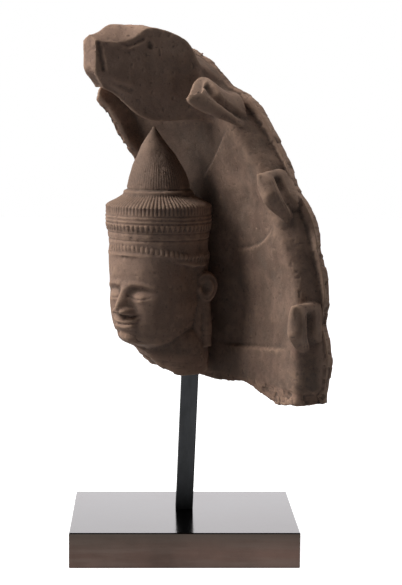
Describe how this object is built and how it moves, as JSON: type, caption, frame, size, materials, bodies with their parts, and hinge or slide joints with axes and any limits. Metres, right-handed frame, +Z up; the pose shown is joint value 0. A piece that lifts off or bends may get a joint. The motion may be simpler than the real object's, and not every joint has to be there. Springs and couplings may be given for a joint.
{
  "type": "buddha head relief fragment on a stand",
  "caption": "Broken stone carving of a crowned head under a hood of serpent heads, held upright by a square bar on a low rectangular metal block.",
  "frame": {"origin": "middle of the metal block's underside, on the surface it stands on", "axes": "+Z up; the block's long front face looks along -Y; the carved face is turned 42 degrees from -Y towards -X"},
  "size_m": [0.2298, 0.2143, 0.475],
  "materials": {
    "sandstone": "weathered brown sandstone, matt and lightly pitted, redder on the fresh breaks",
    "blackened_steel": "blackened, satin",
    "patinated_steel": "warm grey patina, polished enough to mirror its surroundings"
  },
  "bodies": {
    "root": {"buddha_naga_fragment": "sandstone", "mount_rod": "blackened_steel", "base_block": "patinated_steel"}
  },
  "joints": []
}
